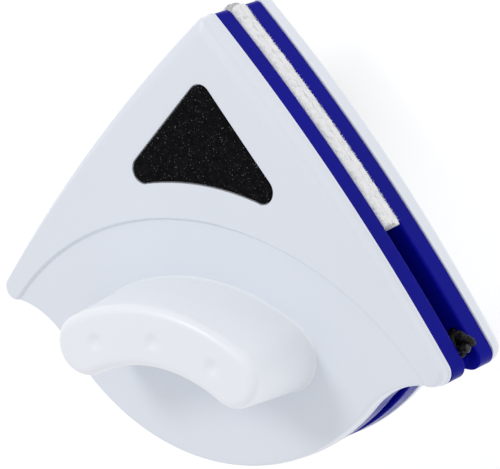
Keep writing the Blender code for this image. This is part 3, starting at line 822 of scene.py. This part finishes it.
def grip_shape():
    """The grip: a fillet at its foot, drafted sides, a rounded shoulder and a dimpled top."""
    slope = GRIP_DRAFT / (GRIP_FACE - FACE)
    rings = []
    foot = grip_outline(GRIP_DRAFT + 0.7)
    rings.append(ring(foot, under_face(foot) - 0.4))
    for flare, lift in ((0.55, 0.02), (0.28, 0.22), (0.1, 0.55), (0.0, 1.1)):
        points = grip_outline(GRIP_DRAFT + flare - slope * lift)
        rings.append(ring(points, under_face(points) + lift))
    shoulder = GRIP_FACE - GRIP_FILLET
    foot_height = FACE + 0.5
    for share in np.linspace(0.1, 1.0, 12):
        height = foot_height + (shoulder - foot_height) * share
        rings.append(ring(grip_outline(slope * (GRIP_FACE - height)), height))
    for turn in np.radians(np.linspace(9, 90, 10)):
        inset = GRIP_FILLET * (1 - math.cos(turn)) - slope * GRIP_FILLET
        rings.append(ring(grip_outline(-inset), shoulder + GRIP_FILLET * math.sin(turn)))
    start = GRIP_FILLET - slope * GRIP_FILLET
    for inset in np.linspace(start, GRIP_HALF_DEPTH - 0.05, 22)[1:]:
        points = grip_outline(-inset)
        rings.append(ring(points, grip_top(points)))
    points, faces = loft(rings, cap_end=False)
    along, around = GRIP_STEPS
    base = (len(rings) - 1) * len(rings[0])
    outer = [base + i for i in range(along + 1)]
    inner = [base + (2 * along + around - i) % len(rings[0]) for i in range(along + 1)]
    faces += zip(outer, outer[1:], inner[1:], inner)
    faces.append(tuple(base + along + i for i in range(around + 1)))
    faces.append(tuple(base + (2 * along + around + i) % len(rings[0]) for i in range(around + 1)))
    return points, faces


def plate_outline(inset, radii=PLATE_RADII):
    """The plate's outline moved inward from its own edge, with the radii of its apex and its corners."""
    return plan_outline(PLATE_INSET + inset, PLATE_INSET + inset, *radii)


def plate_shape():
    """The blue tray, open toward the shell."""
    inner = inset_outline(PLATE_INSET + PLATE_WALL, PLATE_INSET + PLATE_WALL)
    wall = plate_outline(0.0)
    middle = np.array(RECESS_MIDDLE)
    top = RIM - GAP
    floor = PAD_BACK + PLATE_FLOOR
    rings = [ring(middle + (inner - middle) * scale, floor) for scale in (0.1, 0.5, 1.0)]
    rings += [ring(inner, top - 0.3), ring(plate_outline(PLATE_WALL + 0.4, (1.6, 2.6)), top)]
    rings += [ring(plate_outline(0.2, (1.9, 3.5)), top), ring(wall, top - 0.2)]
    rings.append(ring(wall, PAD_BACK + PLATE_CHAMFER + 0.1))
    for turn in np.radians(np.linspace(0, 90, 6)):
        height = PAD_BACK + PLATE_CHAMFER * (1 - math.sin(turn))
        rings.append(ring(plate_outline(PLATE_CHAMFER * (1 - math.cos(turn))), height))
    edge = plate_outline(PLATE_CHAMFER + 0.4, (1.7, 3.2))
    rings += [ring(middle + (edge - middle) * scale, PAD_BACK) for scale in (1.0, 0.66, 0.33, 0.1)]
    return loft(rings)


def turned_shape(centre, profile, steps=40):
    """A solid of revolution about a vertical axis, through (radius, height) pairs."""
    return loft([ring(arc(centre, radius, 0.0, -2 * math.pi, steps), height) for radius, height in profile])


def carve(obj, half, cutters):
    """Cuts turned shapes out of a piece."""
    points, faces = joined(*cutters)
    mesh = bpy.data.meshes.new("cutter")
    mesh.from_pydata(half.place(points).tolist(), [], faces)
    outward(mesh)
    cutter = bpy.data.objects.new("cutter", mesh)
    bpy.context.scene.collection.objects.link(cutter)
    cut = obj.modifiers.new("cut", "BOOLEAN")
    cut.object = cutter
    cut.solver = "EXACT"
    evaluated = obj.evaluated_get(bpy.context.evaluated_depsgraph_get())
    made = bpy.data.meshes.new_from_object(evaluated)
    obj.modifiers.clear()
    obj.data = made
    made.set_sharp_from_angle(angle=math.radians(SHARP_ANGLE))
    bpy.data.objects.remove(cutter)


def lug_shape(hand):
    """A rounded tab at a lower corner, flared where it meets the plate."""
    centre = (LUG[0] * hand, LUG[1])
    low, foot = GAP / 2, PAD_BACK
    slight, full = LUG_FLARE
    profile = [(LUG_RADIUS * 0.6, low), (LUG_RADIUS * 0.88, low + 0.15), (LUG_RADIUS, low + 0.5)]
    profile += [(LUG_RADIUS, foot - 0.7), (LUG_RADIUS + slight, foot - 0.25)]
    profile += [(LUG_RADIUS + full, foot), (LUG_RADIUS + full, foot + 0.5)]
    return turned_shape(centre, profile)


def fleece_line(offset):
    """A line of the fleece this far inside its edge: its centre, radius, first angle and last angle."""
    centre, radius = side_arc(FLEECE_INSET, FLEECE_INSET)
    last = math.acos((FLEECE_START_X - centre[0]) / radius) - FLEECE_LENGTH / radius
    inner = radius - offset
    first = np.arccos((FLEECE_START_X - centre[0]) / inner)
    return centre, inner, first, last


def fleece_point(offset, share):
    """A place on the strip's line: (x, y), the direction outward, and the direction along."""
    centre, radius, first, last = fleece_line(offset)
    turn = first + (last - first) * share
    out = np.column_stack([np.cos(turn), np.sin(turn)])
    along = np.column_stack([np.sin(turn), -np.cos(turn)])
    return centre + out * np.reshape(radius, (-1, 1)), out, along


def fleece_section():
    """(offset, height) pairs round the strip: its full outer edge, wiping face, inner edge and back."""
    low, high = FLEECE_TOUCH, PAD_BACK - FLEECE_TOUCH
    middle, half = (low + high) / 2, (high - low) / 2
    turns = np.linspace(math.pi / 2, -math.pi / 2, 13)
    section = [(-FLEECE_BULGE * (1 - u ** 5), low + (high - low) * u) for u in np.linspace(1, 0, 13)]
    across = np.linspace(0, FLEECE_WIDTH, 28)[1:-1]
    section += [(offset, low) for offset in across]
    section += [(FLEECE_WIDTH + 0.4 * math.cos(t), middle - half * math.sin(t)) for t in turns[::3]]
    section += [(offset, high) for offset in across[::-2]]
    return section


def fleece_shape(half, hand, seed):
    """A strip of pile along a long side: a wavy full bar, with loose fibres on its edges."""
    noise.seed_set(seed)
    section = fleece_section()
    share = np.linspace(0, 1, FLEECE_STEPS + 1)
    lines = []
    for offset, height in section:
        frayed = np.array([noise.noise(Vector((offset * 0.8, height * 0.8, seed + t * 9))) for t in share])
        reach = share + frayed * FLEECE_FRAY / FLEECE_LENGTH * smooth((share - 0.9) * 10)
        spots, _, _ = fleece_point(np.full(len(share), offset), reach)
        lines.append(np.column_stack([spots, np.full(len(share), height)]))
    points, faces = loft(list(np.array(lines).transpose(1, 0, 2)))
    for spot in points:
        wave = noise.noise_vector(Vector(spot * WAVE_SCALE) + Vector((seed, 0, 0)))
        fuzz = noise.noise_vector(Vector(spot * FUZZ_SCALE) + Vector((0, seed, 0)))
        spot += np.array(wave) * WAVE_DEPTH + np.array(fuzz) * FUZZ_DEPTH
    points[:, 1] += crest(points)
    points[:, 2] = np.clip(points[:, 2], FLEECE_TOUCH, PAD_BACK - FLEECE_TOUCH)
    points[:, 0] = np.maximum(points[:, 0], 0.1)
    points, faces = joined((points, faces), fibres(seed))
    return half.place(points * [hand, 1, 1]), faces


def crest(points):
    """How far the pile stands out past the plates at the apex."""
    away = np.hypot(points[:, 0], points[:, 1] - points[:, 1].max())
    return FLEECE_CREST * np.exp(-away ** 2 / FLEECE_CREST_REACH ** 2)


def fibre_roots(chance):
    """Where fibres stand and which way: on the strip's outer edge, its inner edge and its lower end."""
    share = chance.random(FIBRES)
    kind = chance.random(FIBRES)
    inner = kind > 1 - FIBRES_INNER
    end = (kind > 1 - FIBRES_INNER - FIBRES_END) & ~inner
    offset = np.where(inner, FLEECE_WIDTH, 0.0)
    share[end] = 1.0
    offset[end] = chance.uniform(0, FLEECE_WIDTH, end.sum())
    roll = chance.uniform(-1.3, 1.3, FIBRES)
    middle = PAD_BACK / 2
    spots, out, along = fleece_point(offset, share)
    out, along = (np.column_stack([part, np.zeros(FIBRES)]) for part in (out, along))
    way = np.where(end[:, None], along, out * np.where(inner, -1.0, 1.0)[:, None])
    up = np.array([0.0, 0.0, 1.0])
    root = np.column_stack([spots, middle + (middle - FLEECE_TOUCH) * np.sin(roll)])
    root += way * np.where(inner | end, 0.1, FLEECE_BULGE * 0.8)[:, None] * np.cos(roll)[:, None]
    root[:, 1] += crest(root)
    way = way + up * 0.8 * np.sin(roll)[:, None] + along * chance.normal(0.15, 0.45, (FIBRES, 1))
    way += up * chance.normal(0, 0.3, (FIBRES, 1))
    return root, way / np.linalg.norm(way, axis=1, keepdims=True)


def fibres(seed):
    """Loose curling fibres: three-sided, in two lengths each, thinner toward the tip."""
    chance = np.random.default_rng(seed)
    root, way = fibre_roots(chance)
    length = chance.uniform(*FIBRE_LENGTH, (FIBRES, 1)) ** 1.5
    curl = chance.normal(0, 0.25, (FIBRES, 3)) * length
    side = np.cross(way, [0.21, 0.33, 0.92])
    side /= np.linalg.norm(side, axis=1, keepdims=True)
    other = np.cross(way, side)
    corners = []
    for reach, size in ((-0.4, 1.0), (0.5, 0.8), (1.0, 0.3)):
        centre = root + way * length * reach + curl * max(reach, 0) ** 2
        centre[:, 2] = np.clip(centre[:, 2], 0.06, PAD_BACK + 0.4)
        for turn in (0.0, 2.1, 4.2):
            around = side * math.cos(turn) + other * math.sin(turn)
            corners.append(centre + around * FIBRE_RADIUS * size)
    count = len(corners)
    points = np.array(corners).transpose(1, 0, 2).reshape(-1, 3)
    pattern = []
    for low in (0, 3):
        pattern += [(low + i, low + j, low + 3 + j, low + 3 + i) for i, j in ((0, 1), (1, 2), (2, 0))]
    pattern += [(0, 2, 1), (6, 7, 8)]
    faces = [tuple(count * i + j for j in face) for i in range(FIBRES) for face in pattern]
    return points, faces


def make_half(half, looks):
    """The shown pieces of a half."""
    def make(part, shape, slot, stands_for=None, **settings):
        points, faces = shape
        parts = (part,) if stands_for is None else stands_for
        nodes = [f"{half.name}_{node}" for node in parts]
        name = f"{half.name}_{part}_look"
        return piece(name, (half.place(points), faces), looks[slot], half.body, slot, nodes, **settings)

    make("shell", shell_shape(), "shell", smooth_angle=50)
    make("pad", pad_shape(), "pad")
    make("handle", grip_shape(), "grip", smooth_angle=60)
    plate = make("base_plate", plate_shape(), "base_plate")
    pocket = ((SCREW_POCKET_RADIUS, 1.0), (SCREW_POCKET_RADIUS, PAD_BACK + SCREW_POCKET_DEPTH))
    cutters = [turned_shape(centre, pocket) for centre in PLATE_SCREWS]
    if half.sign < 0:
        x, y = CORD_HOLE
        bore = ((CORD_RADIUS + GAP, 1.0), (CORD_RADIUS + GAP, PAD_BACK + PLATE_FLOOR + 1.5))
        cutters.append(turned_shape((-x, y), bore))
    carve(plate, half, cutters)
    make("corner_lugs", joined(lug_shape(1), lug_shape(-1)), "base_plate", stands_for=())
    for i, (label, hand) in enumerate((("right", 1), ("left", -1))):
        name = f"{half.name}_fleece_{label}"
        shape = fleece_shape(half, hand, FLEECE_SEEDS[half.name] + i)
        piece(f"{name}_look", shape, looks["fleece"], half.body, "fleece", [name], smooth_angle=180)


# Safety cord

def cord_place(points):
    """Points (x, y, height above the floor) in the frame's metres."""
    return (np.asarray(points, float) - [0.0, PLAN_MIDDLE_Y, 0.0]) * MM


def coil_line():
    """The turns of the coil, and the angle of the last: in, out and in again, each layer on the last."""
    centre = np.array(COIL_CENTRE)
    spare_width, spare_height = COIL_WIDTH - 2 * CORD_RADIUS, COIL_HEIGHT - 2 * CORD_RADIUS
    layer_steps = round(spare_width / TURN_PITCH) * COIL_STEPS
    ramp_steps = round(COIL_RAMP * COIL_STEPS)
    turn, radius, height = 0.0, COIL_MID_RADIUS + spare_width / 2, COIL_LIFT + CORD_RADIUS
    line = []
    for layer in range(COIL_LAYERS):
        inward = -1 if layer % 2 == 0 else 1
        for _ in range(layer_steps):
            line.append((turn, radius, height))
            turn += 1 / COIL_STEPS
            radius += inward * spare_width / layer_steps
        if layer == COIL_LAYERS - 1:
            break
        for _ in range(ramp_steps):
            line.append((turn, radius, height))
            turn += 1 / COIL_STEPS
            height += spare_height / (COIL_LAYERS - 1) / ramp_steps
    turns, radii, heights = np.array(line).T
    ways = turns * 2 * math.pi
    flat = centre + np.column_stack([radii * np.cos(ways), radii * np.sin(ways)])
    return np.column_stack([flat, heights]), ways[-1]


def tail_route(end, last_way):
    """From the coil's last turn inward and down to its middle, where the toggle stands."""
    centre = np.array(COIL_CENTRE)
    spot, top = end[:2], end[2]
    inward = centre - spot
    inward /= np.linalg.norm(inward)
    ahead = np.array([-math.sin(last_way), math.cos(last_way)])
    low = COIL_LIFT + CORD_RADIUS + 2.0
    return [
        (*spot, top),
        (*(spot + ahead * 2.6 + inward * 0.9), top - 0.4),
        (*(spot + ahead * 3.6 + inward * 3.3), (top + low) / 2),
        (*(centre - inward * 1.0 + ahead * 1.0), low),
    ]


def cord_line():
    """The whole centreline: from the knot through the corner, down, along the floor and round the coil."""
    top = GRIP_FACE - PAD_BACK - 0.05
    straight = [(*CORD_HOLE, share * top) for share in (1.0, 0.85, 0.7)]
    floor = CORD_RADIUS + CORD_FLOOR_GAP
    ground = [(*spot, floor) for spot in CORD_ROUTE]
    coil, last_way = coil_line()
    x, y = COIL_CENTRE
    lead_in = [(x + COIL_MID_RADIUS + 10.5, y - 6.5, floor + 0.6), coil[0], coil[1]]
    lead = smooth_route([*straight, *CORD_DROP, *ground, *lead_in], 1.5)
    tail = smooth_route(tail_route(coil[-1], last_way), 1.2)
    return np.concatenate([lead[:-2], coil[:-1], tail])


def knot_line(middle):
    """An overhand knot: from the hole, through an open trefoil, and out over it to the cut tip."""
    turns = np.linspace(0.5, 2 * math.pi - 0.5, 80)
    loop = np.column_stack([
        (np.sin(turns) + 2 * np.sin(2 * turns)) / 3 * KNOT_REACH,
        (np.cos(turns) - 2 * np.cos(2 * turns)) / 3 * KNOT_REACH,
        -np.sin(3 * turns) * KNOT_RISE,
    ])
    centre = np.array([*KNOT_CENTRE, middle - KNOT_DROP])
    loop += centre
    lead_in = [(*CORD_HOLE, middle - PAD_BACK + 0.4), centre + KNOT_LEAD_IN]
    lead_out = [centre + spot for spot in KNOT_LEAD_OUT]
    return smooth_route([*lead_in, *loop[2:-2:4], *lead_out], KNOT_SPACING)


def make_knot(looks, body, middle):
    """The knot at the corner, and the melted tip of its end."""
    strand = cord_place(knot_line(middle))
    tube = swept(strand, KNOT_STRAND * MM, KNOT_SIDES)
    knot = piece("cord_knot_look", tube, looks["cord"], body, "cord", ["cord_knot"], smooth_angle=180)
    step = (strand[-1] - strand[-2]) / KNOT_SPACING
    path = strand[-1] + np.outer(np.linspace(-0.6, 0.5, len(TIP_SWELL)), step)
    bead = swept(path, KNOT_STRAND * MM * np.array(TIP_SWELL), KNOT_SIDES)
    tip = piece("cord_tip_look", bead, looks["cord_tip"], body, "cord", smooth_angle=180)
    return knot, tip


def make_cord(looks, middle):
    """The cord and all the pieces on it."""
    body = "outer_half"
    path = cord_place(cord_line())
    tube = swept(path, CORD_RADIUS * MM, 12)
    nodes = ["cord_lead", "cord_coil", "cord_tail"]
    cord = piece("safety_cord", tube, looks["cord"], body, "cord", nodes, smooth_angle=180)
    knot, tip = make_knot(looks, body, middle)
    toggle = make_toggle(looks, body)
    tie = make_tie(looks, body)


def make_toggle(looks, body):
    """The barrel stop at the cord's far end, standing in the coil."""
    profile = [(0.5, 0.12), (2.6, 0.1), (3.3, 0.35), (3.8, 1.0), (4.0, 2.0)]
    for level in (3.2, 5.0, 6.8):
        profile += [(3.95, level - 0.5), (3.6, level - 0.2), (3.6, level + 0.2), (3.95, level + 0.5)]
    profile += [(3.9, 8.4), (3.6, 9.2), (2.9, 9.75), (2.2, 9.9), (1.7, 9.6), (1.5, 9.0), (0.3, 9.0)]
    points, faces = turned_shape(COIL_CENTRE, profile)
    slot = "cord_toggle"
    return piece("cord_toggle_look", (cord_place(points), faces), looks[slot], body, slot, ["cord_toggle"])


def make_tie(looks, body):
    """A soft strap round the turns of the coil."""
    half_wide = COIL_WIDTH / 2 + GAP + 0.2
    half_high = COIL_HEIGHT / 2 + GAP
    middle = COIL_LIFT + COIL_HEIGHT / 2
    centre_x = COIL_CENTRE[0] - COIL_MID_RADIUS
    rings = []
    for turn in np.linspace(0, 2 * math.pi, TIE_STEPS, endpoint=False):
        way = np.array([math.cos(turn), math.sin(turn)])
        stretch = 1 / (np.abs(way) ** 5).sum() ** 0.2
        base = way * stretch * [half_wide, half_high]
        section = []
        for side, lift in TIE_SECTION:
            across, up = base + way * lift
            section.append((centre_x + across, COIL_CENTRE[1] + side, max(middle + up, TIE_LOW)))
        rings.append(np.array(section))
    points, faces = loft([*rings, rings[0]], cap_start=False, cap_end=False)
    slot = "cord_tie"
    return piece("cord_tie_look", (cord_place(points), faces), looks[slot], body, slot, ["cord_tie"])


# Camera, light and floor

def make_camera(middle):
    """The camera at the photograph's angle, aimed at a point over the plan."""
    x, y, height = CAMERA_TARGET
    target = Vector((x, y - PLAN_MIDDLE_Y, height + middle)) * MM
    flat = math.cos(CAMERA_ELEVATION)
    back = Vector((
        math.sin(CAMERA_AZIMUTH) * flat,
        -math.cos(CAMERA_AZIMUTH) * flat,
        math.sin(CAMERA_ELEVATION),
    ))
    turn = back.to_track_quat("Z", "Y") @ Matrix.Rotation(CAMERA_ROLL, 3, "Z").to_quaternion()
    data = bpy.data.cameras.new("camera")
    data.lens = CAMERA_LENS
    data.sensor_width = 36.0
    data.clip_start = 0.05
    data.clip_end = 20.0
    camera = bpy.data.objects.new("camera", data)
    bpy.context.scene.collection.objects.link(camera)
    camera.location = target + back * CAMERA_DISTANCE * MM
    camera.rotation_mode = "QUATERNION"
    camera.rotation_quaternion = turn
    bpy.context.scene.camera = camera


def area_light(name, towards, distance, size, watts, colour):
    """A soft round light that shines on the object from a direction."""
    data = bpy.data.lights.new(name, "AREA")
    data.shape = "DISK"
    data.size = size
    data.energy = watts
    data.color = colour
    light = bpy.data.objects.new(name, data)
    bpy.context.scene.collection.objects.link(light)
    way = Vector(towards).normalized()
    light.location = way * distance + Vector((0, 0, LIGHT_AIM_HEIGHT))
    light.rotation_euler = way.to_track_quat("Z", "Y").to_euler()


def make_studio():
    """A pale sky all round, and the lights."""
    bpy.context.scene.view_settings.view_transform = VIEW_TRANSFORM
    world = bpy.data.worlds.new("studio")
    bpy.context.scene.world = world
    world.use_nodes = True
    sky = world.node_tree.nodes["Background"]
    sky.inputs["Color"].default_value = SKY_COLOUR
    sky.inputs["Strength"].default_value = SKY_STRENGTH
    for light in LIGHTS:
        area_light(*light)


def make_floor():
    """A plain pale floor with a faint glow, so that shadows on it stay light."""
    look = Look("floor", Roughness=0.9, Specular_IOR_Level=0.1)
    pales = (0.3, (0.34, 0.34, 0.345)), (0.7, (0.35, 0.35, 0.353))
    look.paint(look.colours(look.noise(400.0, 2.0), *pales))
    look.shader.inputs["Emission Color"].default_value = (1.0, 1.0, 1.0, 1.0)
    look.shader.inputs["Emission Strength"].default_value = FLOOR_GLOW
    mesh = bpy.data.meshes.new("floor")
    signs = ((-1, -1), (1, -1), (1, 1), (-1, 1))
    corners = [(x * FLOOR_REACH, y * FLOOR_REACH, FLOOR_HEIGHT) for x, y in signs]
    mesh.from_pydata(corners, [], [(0, 1, 2, 3)])
    mesh.materials.append(look.material)
    floor = bpy.data.objects.new("floor", mesh)
    bpy.context.scene.collection.objects.link(floor)


def clear_stage():
    """Takes away the lights and cameras that are there from the start."""
    for old in list(bpy.data.objects):
        if old.type in ("LIGHT", "CAMERA"):
            bpy.data.objects.remove(old)


def dress_frame(looks):
    """Gives each CAD node that stays in view the material of its slot in the record."""
    slots = {part["node"]: part["material_slot"] for part in frame["record"]["subparts"]}
    for name, node in frame["nodes"].items():
        node.data.materials.clear()
        node.data.materials.append(looks[slots[name]])


def main():
    clear_stage()
    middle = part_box("inner_handle")[1].z / MM / 2
    make_camera(middle)
    looks = make_materials()
    dress_frame(looks)
    make_cord(looks, middle)
    make_half(Half("inner", middle, False), looks)
    make_half(Half("outer", middle, True), looks)
    make_floor()
    make_studio()


main()
